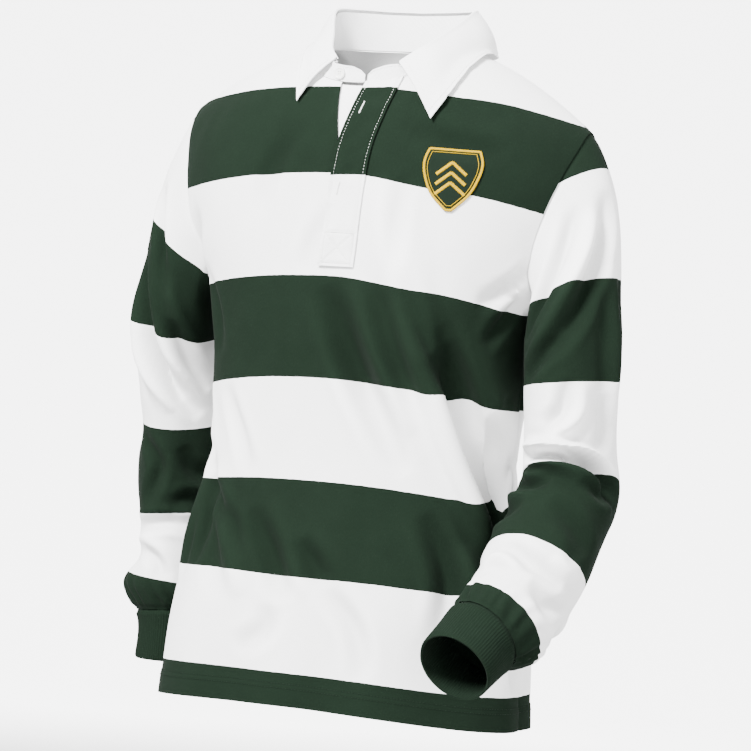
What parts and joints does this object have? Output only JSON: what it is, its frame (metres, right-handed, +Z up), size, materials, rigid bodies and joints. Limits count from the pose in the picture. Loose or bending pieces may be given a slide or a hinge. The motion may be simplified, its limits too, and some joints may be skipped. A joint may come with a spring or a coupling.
{
  "type": "rugby shirt",
  "caption": "Long-sleeved striped jersey shirt with a woven collar, part-length placket and ribbed cuffs, keeping the hollow form in which it is worn.",
  "frame": {"origin": "middle of the neck opening, level with the high points of the shoulder seams, where the wearer's shoulders hold the shirt", "axes": "+Z up, -Y the way the front faces, +X the wearer's left"},
  "size_m": [0.6222, 0.3509, 0.7753],
  "materials": {
    "jersey": "heavy cotton jersey in broad bottle green and white hoops, matt",
    "rib": "bottle green knitted rib, matt",
    "twill": "white cotton twill, matt",
    "button": "white, satin",
    "embroidery": "yellow and green satin stitch"
  },
  "bodies": {
    "root": {"front": "jersey", "back": "jersey", "sleeve_left": "jersey", "sleeve_right": "jersey", "cuff_left": "rib", "cuff_right": "rib", "collar_stand": "twill", "collar_fall": "twill", "placket_top": "jersey", "placket_under": "twill", "button_collar": "button", "button_placket_1": "button", "button_placket_2": "button", "badge": "embroidery"}
  },
  "joints": []
}
